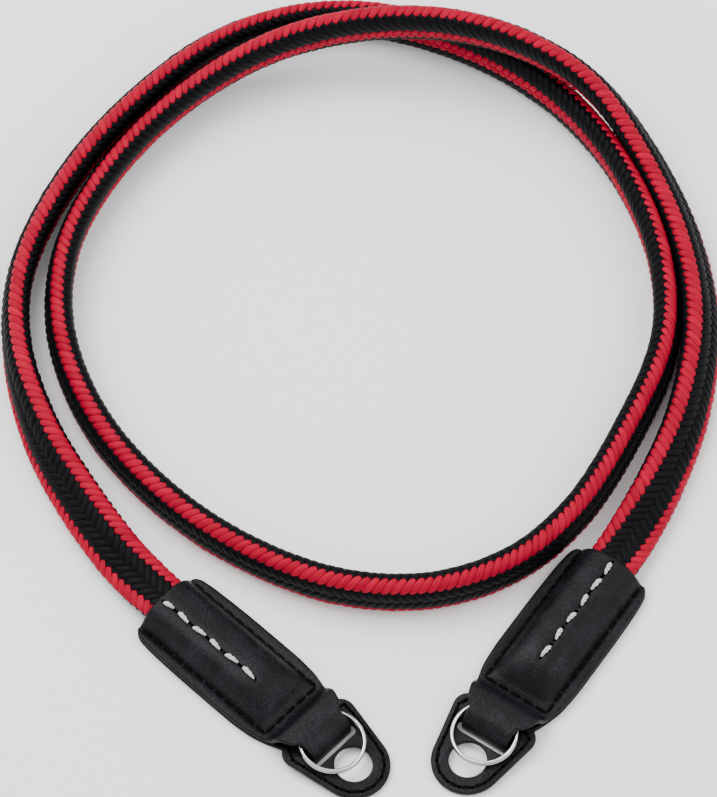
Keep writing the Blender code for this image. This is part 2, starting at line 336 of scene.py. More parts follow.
@dataclass(frozen=True)
class YarnFinish:
    """Satin yarn of many fine filaments."""

    colour: Colour
    deep: Colour
    roughness: float = 0.5
    gloss: float = 0.07
    along: float = 1.6
    across: float = 24.0
    apart: float = 91.0
    tones: Pair = (0.86, 1.12)

    def build(self, name: str) -> Material:
        """The finish as a material, on the pieces' own UV map and tone attribute."""
        graph = Graph(name, {"Roughness": self.roughness, "Specular IOR Level": self.gloss})
        uv, tone = graph.add("UVMap"), graph.add("Attribute")
        uv.uv_map, tone.attribute_name = "float", "tone"
        split = graph.add("SeparateXYZ", Vector=uv.outputs["UV"])
        joined = graph.add(
            "CombineXYZ",
            X=graph.times(split.outputs["X"], self.along),
            Y=graph.times(split.outputs["Y"], self.across),
            Z=graph.times(tone.outputs["Fac"], self.apart),
        )
        filaments = graph.noise(joined.outputs["Vector"], 1.0, detail=3.0)
        varied = graph.add(
            "HueSaturation",
            Value=graph.spread(tone.outputs["Fac"], *self.tones),
            Color=graph.ramp(filaments, self.deep, self.colour, start=0.3, end=0.62),
        )
        return graph.finish({
            "Base Color": varied.outputs["Color"],
            "Normal": graph.bump(filaments, strength=0.55, distance=0.00008),
        })


@dataclass(frozen=True)
class LeatherFinish:
    """Soft black leather with a fine pebbled grain, painted lighter in each pebble's middle
    (painted highlight) and darker between the pebbles (painted shade).
    """

    colour: Colour = (0.0026, 0.0026, 0.0038)
    worn: Colour = (0.0084, 0.0084, 0.0112)
    # Painted light on the grain: the next colour brightens each pebble's middle (painted
    # highlight), the one after darkens the crevices between pebbles (painted shade), and the
    # factor after them sets how strongly.
    pebble_highlight: Colour = (1.9, 1.9, 1.9)
    pebble_crevice_shade: Colour = (0.35, 0.35, 0.35)
    grain_shading: float = 0.75
    roughness: float = 0.42
    gloss: float = 0.125
    grain: float = 1700.0
    blotches: float = 160.0

    def build(self, name: str) -> Material:
        """The finish as a material, on Object coordinates."""
        graph = Graph(name, {"Specular IOR Level": self.gloss})
        place = graph.place()
        cells = graph.add("TexVoronoi", Vector=place, Scale=self.grain)
        pebble = cells.outputs["Distance"]
        blotch = graph.noise(place, self.blotches, detail=5.0)
        fine = graph.noise(place, self.grain * 1.7)
        # Painted highlight and shade on the grain, multiplied into the blotchy tone.
        grain_shaded = graph.add("Mix", Factor=self.grain_shading)
        grain_shaded.data_type, grain_shaded.blend_type = "RGBA", "MULTIPLY"
        graph.feed(grain_shaded, {
            6: graph.ramp(blotch, self.colour, self.worn, start=0.38, end=0.66),
            7: graph.ramp(pebble, self.pebble_highlight, self.pebble_crevice_shade, start=0.15, end=0.6),
        })
        pebbles = graph.bump(pebble, strength=0.8, distance=0.00007)
        return graph.finish({
            "Base Color": grain_shaded.outputs[2],
            "Roughness": graph.spread(fine, self.roughness - 0.1, self.roughness + 0.16),
            "Normal": graph.bump(blotch, strength=0.4, distance=0.0002, Normal=pebbles),
        })


@dataclass(frozen=True)
class ThreadFinish:
    """Waxed thread with a slight unevenness along it; on the white thread its darker tone is
    painted shade for the twist.
    """

    colour: Colour
    # The darker tone that the noise mixes in; on the white thread it is painted shade for the
    # twist's grooves.
    deep: Colour
    roughness: float
    gloss: float
    fibres: float = 3800.0

    def build(self, name: str) -> Material:
        """The finish as a material, on Object coordinates."""
        graph = Graph(name, {"Roughness": self.roughness, "Specular IOR Level": self.gloss})
        fibres = graph.noise(graph.place(), self.fibres, detail=4.0)
        return graph.finish({
            "Base Color": graph.ramp(fibres, self.deep, self.colour, start=0.35, end=0.6),
            "Normal": graph.bump(fibres, strength=0.5, distance=0.00006),
        })


@dataclass(frozen=True)
class SteelFinish:
    """Bright nickel-plated spring steel with faint draw marks."""

    dark: Colour = (0.40, 0.40, 0.41)
    bright: Colour = (0.70, 0.70, 0.71)
    roughness: float = 0.14
    marks: float = 900.0

    def build(self, name: str) -> Material:
        """The finish as a material, on Object coordinates."""
        graph = Graph(name, {"Metallic": 1.0})
        marks = graph.noise(graph.place(), self.marks, detail=3.0)
        return graph.finish({
            "Base Color": graph.ramp(marks, self.dark, self.bright),
            "Roughness": graph.spread(marks, self.roughness - 0.05, self.roughness + 0.1),
        })


def linked(name: str, data: bpy.types.ID) -> Object:
    """A new object in the scene."""
    made = bpy.data.objects.new(name, data)
    bpy.context.scene.collection.objects.link(made)
    return made


def placed(name: str, mesh: bpy.types.Mesh, finish: Material) -> Object:
    """A mesh as a smooth object at the origin."""
    mesh.shade_smooth()
    mesh.materials.append(finish)
    log.info("%s: %d faces", name, len(mesh.polygons))
    return linked(name, mesh)


def finished(name: str, bm: BMesh, finish: Material) -> Object:
    """Turns a bmesh into a smooth object at the origin, and frees it."""
    mesh = bpy.data.meshes.new(name)
    bm.to_mesh(mesh)
    bm.free()
    return placed(name, mesh, finish)


def mesh_object(name: str, verts: Array, faces: Array, finish: Material) -> Object:
    """A smooth mesh object at the origin.

    Args:
        name: the piece's name.
        verts: one row of three per vertex.
        faces: one row of vertex numbers per face.
        finish: its material.

    Returns:
        The object, linked to the scene.
    """
    mesh = bpy.data.meshes.new(name)
    mesh.from_pydata(verts.tolist(), [], faces.tolist())
    mesh.update()
    return placed(name, mesh, finish)


def grid_faces(rows: int, columns: int) -> Array:
    """The quads of a grid of vertices, row after row."""
    first = (np.arange(rows - 1)[:, None] * columns + np.arange(columns - 1)).ravel()
    return np.stack([first, first + 1, first + columns + 1, first + columns], axis=1)


def close_up(bm: BMesh, reach: float) -> None:
    """Merges the points that meet, fills the open ends and turns the faces outwards."""
    bmesh.ops.remove_doubles(bm, verts=bm.verts, dist=reach)
    bmesh.ops.holes_fill(bm, edges=[e for e in bm.edges if e.is_boundary])
    bmesh.ops.recalc_face_normals(bm, faces=bm.faces)


def skin_of(curve: bpy.types.Curve) -> BMesh:
    """A curve's bevelled skin. The curve is removed."""
    bent = linked(f"{curve.name}_line", curve)
    seen = bent.evaluated_get(bpy.context.evaluated_depsgraph_get())
    mesh = bpy.data.meshes.new_from_object(seen)
    bpy.data.objects.remove(bent)
    bpy.data.curves.remove(curve)
    bm = bmesh.new()
    bm.from_mesh(mesh)
    bpy.data.meshes.remove(mesh)
    bmesh.ops.remove_doubles(bm, verts=bm.verts, dist=CURVE_WELD)
    bmesh.ops.recalc_face_normals(bm, faces=bm.faces)
    return bm


def lofted(name: str, loops: Array, finish: Material) -> Object:
    """A closed skin through loops of points.

    Args:
        name: the piece's name.
        loops: rows of points, each row a loop whose last point is its first.
        finish: the piece's material.

    Returns:
        The object, linked to the scene.
    """
    rows, columns = loops.shape[:2]
    bm = bmesh.new()
    bmesh.ops.create_grid(bm, x_segments=rows - 1, y_segments=columns - 1, size=1)
    ordered = sorted(bm.verts, key=lambda v: (round(v.co.x, 6), round(v.co.y, 6)))
    for vert, place in zip(ordered, loops.reshape(-1, 3)):
        vert.co = place
    close_up(bm, LOFT_WELD)
    return finished(name, bm, finish)


def wires(
    name: str, lines: list[Array], radius: float, finish: Material,
    swell: Array | None = None, sides: int = 2,
) -> Object:
    """Round wires or strands along lines, as one mesh.

    Args:
        name: the piece's name.
        lines: one array of points per strand, all of the same count where swell is given.
        radius: half of the strand's thickness.
        finish: the piece's material.
        swell: a share of the radius for each point, or None.
        sides: the bevel resolution.

    Returns:
        The object, linked to the scene.
    """
    curve = bpy.data.curves.new(name, "CURVE")
    curve.dimensions = "3D"
    curve.bevel_depth = radius
    curve.bevel_resolution = sides
    curve.use_fill_caps = True
    for line in lines:
        spline = curve.splines.new("POLY")
        spline.points.add(len(line) - 1)
        spline.points.foreach_set("co", np.column_stack([line, np.ones(len(line))]).ravel())
        if swell is not None:
            spline.points.foreach_set("radius", swell)
    return finished(name, skin_of(curve), finish)


class SmoothTable:
    """A smooth line through a few chosen points, which never passes beyond them."""

    def __init__(self, *points: Pair) -> None:
        self.x, self.y = (np.array(v, float) for v in zip(*points))
        slope = np.diff(self.y) / np.diff(self.x)
        both = slope[:-1] * slope[1:] > 0
        before, after = (np.where(both, side, 1) for side in (slope[:-1], slope[1:]))
        middle = np.where(both, 2 / (1 / before + 1 / after), 0)
        self.slope = np.concatenate([[slope[0]], middle, [slope[-1]]])

    def __call__(self, at: Array) -> Array:
        """The line's height at each place."""
        held = np.clip(at, self.x[0], self.x[-1])
        k = np.clip(np.searchsorted(self.x, held, side="right") - 1, 0, len(self.x) - 2)
        step = self.x[k + 1] - self.x[k]
        t = (held - self.x[k]) / step
        rise = self.y[k] * (1 + 2 * t) * (1 - t) ** 2 + self.y[k + 1] * t**2 * (3 - 2 * t)
        bend = self.slope[k] * t * (1 - t) ** 2 - self.slope[k + 1] * t**2 * (1 - t)
        return rise + step * bend


@dataclass
class Braid:
    """The cord's outside: eight columns of floats that lean to and fro round a dark core.

    A float is one visible pass of yarn over its column. Columns are counted from the
    upper tip over the face. Their yarn is COLUMNS, and EDGES are shares of the girth. The
    drift is how far the braid has crept round its core there, by the length along the cord.
    """

    route: Route
    pitch: float = 0.00213
    lean: float = math.radians(48)
    float_rise: float = 0.00075
    float_reach: float = 1.3
    float_plump: float = 1.1
    first: float = 0.020
    last: float = 0.020

    COLUMNS = (
        Yarn.RED, Yarn.BLACK, Yarn.BLACK, Yarn.RED,
        Yarn.BLACK, Yarn.RED, Yarn.RED, Yarn.BLACK,
    )
    EDGES = (0, 0.125, 0.25, 0.375, 0.5, 0.69, 0.75, 0.81, 1)
    ALONG = 9
    ACROSS = 6
    CORE_STEP = 0.0022
    CORE_SIDES = 24
    CORE_RISE = 0.0001
    TAPER, TAPER_POWER = 0.5, 3.5
    ARCH, DIP, DIP_POWER = 1.02, 0.95, 2.6
    CROWN, ROUNDING = 0.9, 0.55
    PLACE_SCATTER = 0.00005
    RISE_SCATTER = 0.04
    PATH_STEP = Route.STEPS // 4

    def __post_init__(self) -> None:
        inset = 2 * self.float_rise
        self.section = OvalSection(CORD_WIDTH - inset, CORD_THICKNESS - inset, CORD_SQUARENESS)
        self.drift = SmoothTable(
            (0.060, 0), (0.095, -0.020), (0.150, -0.025), (0.235, 0), (0.290, 0.022),
            (0.370, 0.016), (0.440, 0), (0.600, 0), (0.640, 0.006), (0.700, -0.024),
            (0.785, -0.024), (0.840, 0),
        )

    def build(self, finishes: dict[Yarn, Material], core_finish: Material) -> None:
        core = self._build_core(core_finish)
        floats = [self._build_floats(yarn, finishes[yarn]) for yarn in Yarn]
        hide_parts("cord")
        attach(core, "root")
        for piece in floats:
            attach(piece, "root")

    def _build_core(self, finish: Material) -> Object:
        """The tube that shows between the floats."""
        stations, corners = round(self.route.length / self.CORE_STEP), self.CORE_SIDES + 1
        along, round_it = np.linspace(0, self.route.length, stations), np.linspace(0, 1, corners)
        at, share = np.meshgrid(along, round_it, indexing="ij")
        verts = self._on_cord(at, share, np.full_like(at, self.CORE_RISE)).reshape(-1, 3)
        core = mesh_object("cord_core", verts, grid_faces(stations, corners), finish)
        bm = bmesh.new()
        bm.from_mesh(core.data)
        close_up(bm, CORE_WELD)
        bm.to_mesh(core.data)
        bm.free()
        return core

    def _on_cord(self, at: Array, share: Array, out: Array) -> Array:
        """Places on the cord.

        Args:
            at: lengths along it.
            share: shares of its girth.
            out: heights over its base surface.

        Returns:
            The places, in metres.
        """
        here = self.route.frames(at)
        x, y = self.section.at(share + self.drift(at), out)
        return here.place + here.wide * x[..., None] + here.normal * (y * here.squeeze)[..., None]

    def _build_floats(self, yarn: Yarn, finish: Material) -> Object:
        """All the floats of one yarn as one piece."""
        rng = np.random.default_rng(SEED + list(Yarn).index(yarn))
        until = (self.route.length - self.last) / self.pitch
        rows = np.arange(math.ceil(self.first / self.pitch), until)
        columns = np.array([j for j, colour in enumerate(self.COLUMNS) if colour is yarn])
        column, row = (v.ravel() for v in np.meshgrid(columns, rows, indexing="ij"))
        sense, phase = self._lean_and_phase()
        scatter = rng.normal(0, self.PLACE_SCATTER, len(row))
        centre_s = row * self.pitch + phase[column] + scatter
        edges = np.array(self.EDGES) * self.section.girth
        centre_u = (edges[column] + edges[column + 1]) / 2
        reach = ((edges[column + 1] - edges[column]) / 2 * self.float_reach)[:, None, None]
        half_wide = self.pitch * math.sin(self.lean) / 2 * self.float_plump

        t = np.linspace(-1, 1, self.ALONG)[None, :, None]
        v = np.sin(np.linspace(-1, 1, self.ACROSS) * math.pi / 2)[None, None, :]
        uneven = (1 + rng.normal(0, self.RISE_SCATTER, len(row)))[:, None, None]
        out = self.float_rise * uneven * self._float_height(t, v)
        wide = half_wide * (1 - self.TAPER * np.abs(t) ** self.TAPER_POWER) * v
        lean = sense[column][:, None, None]
        u = centre_u[:, None, None] + t * reach - lean * math.cos(self.lean) * wide
        s = centre_s[:, None, None] + lean * t * reach / math.tan(self.lean)
        s = s + math.sin(self.lean) * wide
        full = np.ones_like(out)
        verts = self._on_cord(s * full, u / self.section.girth * full, out)

        each = self.ALONG * self.ACROSS
        quads = grid_faces(self.ALONG, self.ACROSS)
        faces = (np.arange(len(row))[:, None, None] * each + quads[None]).reshape(-1, 4)
        piece = mesh_object(f"cord_{yarn.value}_floats", verts.reshape(-1, 3), faces, finish)
        self._dress(piece, len(row), rng)
        return piece

    def _float_height(self, along: Array, across: Array) -> Array:
        """A float's height as a share of its rise: it dips at both ends and is round across."""
        arch = self.ARCH * (1 - self.DIP * np.abs(along) ** self.DIP_POWER)
        return arch + self.ROUNDING * (self.CROWN * np.sqrt(np.clip(1 - across**2, 0, 1)) - 1)

    def _lean_and_phase(self) -> tuple[Array, Array]:
        """Each column's lean, to or fro, and the shift that sets it between its neighbours."""
        half = np.diff(self.EDGES) * self.section.girth / 2 / math.tan(self.lean)
        sense = np.where(np.arange(len(half)) % 2 == 0, 1.0, -1.0)
        step = sense[:-1] * (half[:-1] - half[1:]) + self.pitch / 2
        return sense, np.mod(np.concatenate([[0], np.cumsum(step)]), self.pitch)

    def _dress(self, piece: Object, count: int, rng: np.random.Generator) -> None:
        """Gives the floats their UV map, along and across each, and a tone of their own."""
        mesh = piece.data
        u = np.repeat(np.linspace(0, 1, self.ALONG), self.ACROSS)
        v = np.tile(np.linspace(0, 1, self.ACROSS), self.ALONG)
        by_vertex = np.tile(np.stack([u, v], axis=1), (count, 1))
        corner = np.empty(len(mesh.loops), np.int32)
        mesh.loops.foreach_get("vertex_index", corner)
        layer = mesh.uv_layers.new(name="float")
        layer.data.foreach_set("uv", by_vertex[corner].ravel())
        tone = mesh.attributes.new("tone", "FLOAT", "POINT")
        tone.data.foreach_set("value", np.repeat(rng.random(count), self.ALONG * self.ACROSS))


# Heights and clearances that the tab, the guard and the ring share.
LEATHER = 0.0012
GAP = 0.0003
FOLD_CLEARANCE = 0.00045
GUARD_THICKNESS = 0.0013
GUARD_SEAT = LEATHER + FOLD_CLEARANCE
TAB_LENGTH = 0.0546
GUARD_NOSE = 0.0087
LUG_REACH = 0.0070
TILT = math.atan2(GUARD_SEAT - GAP / 2, LUG_REACH + GUARD_NOSE)


@dataclass(frozen=True)
class EndPlace:
    """Where an end lies: its pocket's mouth in plan, its heading, and what sets it apart."""

    name: str
    mouth: Pair
    heading: float
    ring_split: float
    white_offset: float
    white_starts: tuple[float, ...]
    white_ends: tuple[float, ...]

    @property
    def tab_frame(self) -> Matrix:
        """The tab's own frame: +X towards the ring, from the mouth."""
        turn = Matrix.Rotation(math.radians(self.heading), 4, "Z")
        return Matrix.Translation((*self.mouth, 0)) @ turn

    @property
    def seat_frame(self) -> Matrix:
        """The guard's frame, at the fold, leaning on the surface with its nose."""
        rest = Matrix.Translation((TAB_LENGTH, 0, GUARD_SEAT + GUARD_THICKNESS / 2))
        return self.tab_frame @ rest @ Matrix.Rotation(TILT, 4, "Y")


ENDS = (
    EndPlace(
        "left", (-0.0536, 0.0180), -43.7, 250, -0.0017,
        (0.0014, 0.0058, 0.0109, 0.0162, 0.0215, 0.0268),
        (0.0048, 0.0099, 0.0153, 0.0203, 0.0259, 0.0315),
    ),
    EndPlace(
        "right", (0.0521, 0.0277), -124.0, 215, 0.0009,
        (0.0013, 0.0062, 0.0116, 0.0172, 0.0226, 0.0279),
        (0.0053, 0.0106, 0.0154, 0.0210, 0.0264, 0.0320),
    ),
)


@dataclass
class LeatherTab:
    """One strip of leather, folded round the ring and sewn round the cord.

    Its middle surface runs under the cord, up through the guard's slot and back over.
    """

    place: EndPlace
    pocket_foot: float = 0.0084
    cross_seam: float = 0.0412
    side_seam: float = 0.0086
    fold_round: float = 0.0012
    shoulder: float = 0.0042
    pocket_mid: float = LEATHER + GAP + CORD_THICKNESS * CORD_SQUEEZE + GAP + LEATHER / 2
    flange_mid: float = LEATHER + GAP + LEATHER / 2
    arch_mid: float = 0.0064
    step: float = 0.00045
    columns: int = 49
    seam_depth: float = 0.00042
    tack_depth: float = 0.00025

    RIM = (0, 0.04, 0.16, 0.38, 0.68)
    BOTTOM_STEPS = 120
    TURN_STEPS = 24
    TOP_STEPS = 300
    SEAM_SPREAD = 0.0006
    TACK_SPREAD = 0.0007
    WAVE = 0.00004
    TINY = 1e-12

    def __post_init__(self) -> None:
        self.half_width = SmoothTable(
            (0, 0.0092), (0.0007, 0.0100), (0.0025, 0.0107), (0.008, 0.0112), (0.018, 0.01145),
            (0.031, 0.0115), (0.0375, 0.0111), (0.0416, 0.0102), (0.0458, 0.0087),
            (0.0489, 0.0074), (0.0512, 0.0064), (0.0530, 0.00625), (0.0546, 0.00625),
        )
        self.pocket_along = SmoothTable(
            (0, 1), (0.0262, 1), (0.0303, 0.99), (0.0330, 0.92), (0.0355, 0.72),
            (0.0377, 0.40), (0.0395, 0.09), (0.0406, 0),
        )
        self.pocket_across = SmoothTable(
            (0, 1), (0.27, 0.975), (0.5, 0.88), (0.68, 0.69), (0.8, 0.46),
            (0.88, 0.27), (0.945, 0.10), (1, 0),
        )
        self.arch_along = SmoothTable(
            (0.0424, 0), (0.0438, 0.2), (0.0451, 0.65), (0.0466, 0.97), (0.0490, 1),
        )
        self.arch_spread = SmoothTable(
            (0.0425, 0), (0.0460, 0.0008), (0.0492, 0.0010), (0.0515, 0),
        )

    def build(self, leather: Material) -> None:
        """The whole strip as one closed skin."""
        x, z, on_top = self._middle_line()
        half = (self.half_width(x) + on_top * self.arch_spread(x))[:, None]
        rim = np.array(self.RIM) * LEATHER / 2
        inner = np.linspace(-1, 1, self.columns)[None, :] * (half - LEATHER / 2)
        y = np.concatenate([-half + rim, inner, (half - rim)[:, ::-1]], axis=1)
        x, z, on_top = (column[:, None] + 0 * y for column in (x, z, on_top))
        z = z + on_top * self._rise(x, y)
        middle = np.stack([x, y, z], axis=-1)
        normal = np.cross(np.gradient(middle, axis=1), np.gradient(middle, axis=0))
        normal /= np.linalg.norm(normal, axis=-1, keepdims=True) + self.TINY
        thick = LEATHER / 2 * self._round(half - np.abs(y), LEATHER / 2)
        ends = np.minimum(np.arange(len(x)), np.arange(len(x))[::-1])[:, None] * self.step
        thick = thick * self._round(ends, LEATHER / 2)
        outer = middle + normal * (thick - on_top * self._seam(x, y))[..., None]
        inner_skin = middle - normal * thick[..., None]
        loops = np.concatenate([outer, inner_skin[:, ::-1], outer[:, :1]], axis=1)
        name = f"{self.place.name}_tab"
        tab = lofted(f"{name}_leather", moved(loops, self.place.tab_frame), leather)
        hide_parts(name)
        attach(tab, "root")

    def _middle_line(self) -> tuple[Array, Array, Array]:
        """The strip's middle line at even steps: along, height, and 1 in the top layer."""
        turn = np.linspace(0, math.pi / 2, self.TURN_STEPS)
        fold = TAB_LENGTH - self.fold_round
        low = GUARD_SEAT + GUARD_THICKNESS
        bottom = np.linspace(0, fold, self.BOTTOM_STEPS)
        top = np.linspace(TAB_LENGTH - self.shoulder, 0, self.TOP_STEPS)[1:]
        x = np.concatenate([
            bottom,
            fold + self.fold_round * np.sin(turn[1:]),
            TAB_LENGTH - self.shoulder * (1 - np.cos(turn)),
            top,
        ])
        z = np.concatenate([
            np.full_like(bottom, LEATHER / 2),
            LEATHER / 2 + self.fold_round * (1 - np.cos(turn[1:])),
            low + (self.arch_mid - low) * np.sin(turn),
            self._top_mid(top),
        ])
        is_top = (np.arange(len(x)) >= len(x) - len(top)).astype(float)
        at = lengths_along(np.column_stack([x, z]))
        even = np.linspace(0, at[-1], round(at[-1] / self.step))
        x, z, is_top = (np.interp(even, at, column) for column in (x, z, is_top))
        return x, z, np.round(is_top)

    def _top_mid(self, x: Array) -> Array:
        """The height of the top layer's middle, without the pocket."""
        return self.flange_mid + (self.arch_mid - self.flange_mid) * self.arch_along(x)

    def _rise(self, x: Array, y: Array) -> Array:
        """The pocket's rise over the flange, with the leather's slight waves."""
        share = np.clip(np.abs(y) / self.pocket_foot, 0, 1)
        height = self.pocket_mid - self.flange_mid
        pocket = height * self.pocket_along(x) * self.pocket_across(share)
        y = y if self.place.heading > -90 else -y
        waves = np.sin(310 * x + 160 * y) + 0.7 * np.sin(-190 * x + 420 * y + 1)
        return pocket + self.WAVE * waves

    @staticmethod
    def _round(inside: Array, radius: float) -> Array:
        """The share of full thickness at a distance inside a rounded edge."""
        return np.sqrt(np.clip(1 - np.clip(1 - inside / radius, 0, 1) ** 2, 0, 1))

    def _seam(self, x: Array, y: Array) -> Array:
        """How deep the seam draws the leather in."""
        side = np.where(x < self.cross_seam, np.abs(np.abs(y) - self.side_seam), np.inf)
        cross = np.where(np.abs(y) < self.side_seam, np.abs(x - self.cross_seam), np.inf)
        near = np.minimum(side, cross)
        place = self.place
        beyond = x - np.clip(x, place.white_starts[0], place.white_ends[-1])
        tack = np.hypot(y - place.white_offset, beyond)
        drawn = self.seam_depth * np.exp(-((near / self.SEAM_SPREAD) ** 2))
        return drawn + self.tack_depth * np.exp(-((tack / self.TACK_SPREAD) ** 2))

    def on_top(self, x: Array, y: Array, lift: Array) -> Array:
        """Places over the top layer's outside, in the tab's frame.

        Args:
            x: along the tab.
            y: across it.
            lift: height over the leather.

        Returns:
            One row of three per place.
        """

        def middle(x: Array, y: Array) -> Array:
            return np.stack([x, y, self._top_mid(x) + self._rise(x, y)], axis=-1)

        d = 0.0001
        run = middle(x + d, y) - middle(x - d, y)
        normal = unit(np.cross(run, middle(x, y + d) - middle(x, y - d)))
        out = LEATHER / 2 + lift - self._seam(x, y)
        return middle(x, y) + normal * out[..., None]


def add_bead(bm: BMesh, radius: float, matrix: Matrix) -> None:
    """A bead at the matrix's origin, for painted shade at a hole's bottom."""
    bmesh.ops.create_icosphere(bm, subdivisions=2, radius=radius, matrix=matrix)


@dataclass
class Seam:
    """A row of stitches between holes, on any surface that gives a place for its plan."""

    pitch: float
    thread: float
    bare: float = 0.12
    rise: float = 0.00012
    sink: float = 0.0005
    points: int = 9

    @property
    def swell(self) -> Array:
        """The share of a stitch's full thickness at each of its points."""
        return 1 - 0.45 * np.abs(np.linspace(-1, 1, self.points)) ** 3

    def split(self, corners: list[Pair]) -> list[tuple[Array, Array]]:
        """The start and end of each stitch along a line of corners."""
        stitches = []
        for start, end in zip(corners, corners[1:]):
            start, end = np.array(start), np.array(end)
            count = max(1, round(float(np.linalg.norm(end - start)) / self.pitch))
            for k in range(count):
                a, b = (k + self.bare / 2) / count, (k + 1 - self.bare / 2) / count
                stitches.append((start + (end - start) * a, start + (end - start) * b))
        return stitches

    def lines(self, stitches: list[tuple[Array, Array]], surface) -> list[Array]:
        """One line per stitch, up out of its first hole and down into its last.

        Args:
            stitches: start and end in plan.
            surface: gives places for x, y and lift.

        Returns:
            The lines' points.
        """
        t = np.linspace(0, 1, self.points)
        lift = self.rise - (self.rise + self.sink) * np.abs(2 * t - 1) ** 5
        return [surface(*(a[:, None] + (b - a)[:, None] * t), lift) for a, b in stitches]


@dataclass
class TabStitching:
    """The tab's black seam round the pocket and its white tacking down the middle."""

    tab: LeatherTab
    black: Seam
    strand: float = 0.00028
    twist: float = 2.4
    strands: int = 3
    points: int = 25
    fattest: float = 0.36
    first: float = 0.0012
    lean: float = 0.00024
    lift: float = 0.00045
    dip: float = 0.0012
    # Sizes of the dark beads that paint shade into the holes.
    small_hole_shade: float = 0.0006
    large_hole_shade: float = 0.00066

    def build(self, black: Material, white: Material, hole: Material) -> None:
        """Makes the seam, the tacking and dark beads of painted shade in their holes."""
        tab, frame_to = self.tab, self.tab.place.tab_frame
        side, cross = tab.side_seam, tab.cross_seam
        corners = [(self.first, -side), (cross, -side), (cross, side), (self.first, side)]
        stitches = self.black.split(corners)
        lines = [moved(line, frame_to) for line in self.black.lines(stitches, tab.on_top)]
        name = tab.place.name
        seam = wires(f"{name}_tab_seam", lines, self.black.thread, black, self.black.swell)
        holes = [a for a, _ in stitches] + [stitches[-1][1]]
        white_lines, ends = self._white_lines()
        tacking = wires(f"{name}_tab_tacking", white_lines, self.strand, white, self.swell)
        hole_shade_beads = self._build_hole_shades(f"{name}_tab_hole_shades", holes, ends, hole)
        for piece in (seam, tacking, hole_shade_beads):
            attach(piece, "root")

    @property
    def swell(self) -> Array:
        """The share of a white stitch's full thickness, from one hole to the other."""
        t = np.linspace(0, 1, self.points)
        after = (t - self.fattest) / (1 - self.fattest)
        side = np.where(t < self.fattest, 1 - t / self.fattest, after)
        return 1 - 0.78 * side**1.9

    def _white_lines(self) -> tuple[list[Array], list[Array]]:
        """The twisted strands of each white stitch, and the places of their holes."""
        t = np.linspace(0, 1, self.points)
        lines, ends = [], []
        place = self.tab.place
        for k, (start, end) in enumerate(zip(place.white_starts, place.white_ends)):
            x = start + (end - start) * t
            across = place.white_offset + self.lean * (-1) ** k * (2 * t - 1)
            lift = self.lift - self.dip * np.abs(2 * t - 1) ** 4
            for strand in range(self.strands):
                turn = math.pi * (self.twist * t + 2 * strand / self.strands)
                off = self.strand * 1.15 * self.swell
                y, over = across + np.cos(turn) * off, lift + np.sin(turn) * off
                lines.append(moved(self.tab.on_top(x, y, over), place.tab_frame))
            ends += [np.array([x[0], across[0]]), np.array([x[-1], across[-1]])]
        return lines, ends

    def _build_hole_shades(self, name: str, small: list, large: list, finish: Material) -> Object:
        """Painted shade in the awl holes, each a flat dark bead sunk in the leather."""
        bm = bmesh.new()
        flat = Matrix.Diagonal((1.5, 0.9, 0.16, 1))
        for places, size in ((small, self.small_hole_shade), (large, self.large_hole_shade)):
            for spot in places:
                x, y = np.array([spot[0]]), np.array([spot[1]])
                foot = self.tab.on_top(x, y, np.array([-0.00004]))[0]
                tip = self.tab.on_top(x, y, np.array([0.001]))[0]
                turn = Vector(tip - foot).to_track_quat("Z", "X").to_matrix().to_4x4()
                spot_frame = self.tab.place.tab_frame @ Matrix.Translation(foot)
                add_bead(bm, size, spot_frame @ turn @ flat)
        return finished(name, bm, finish)


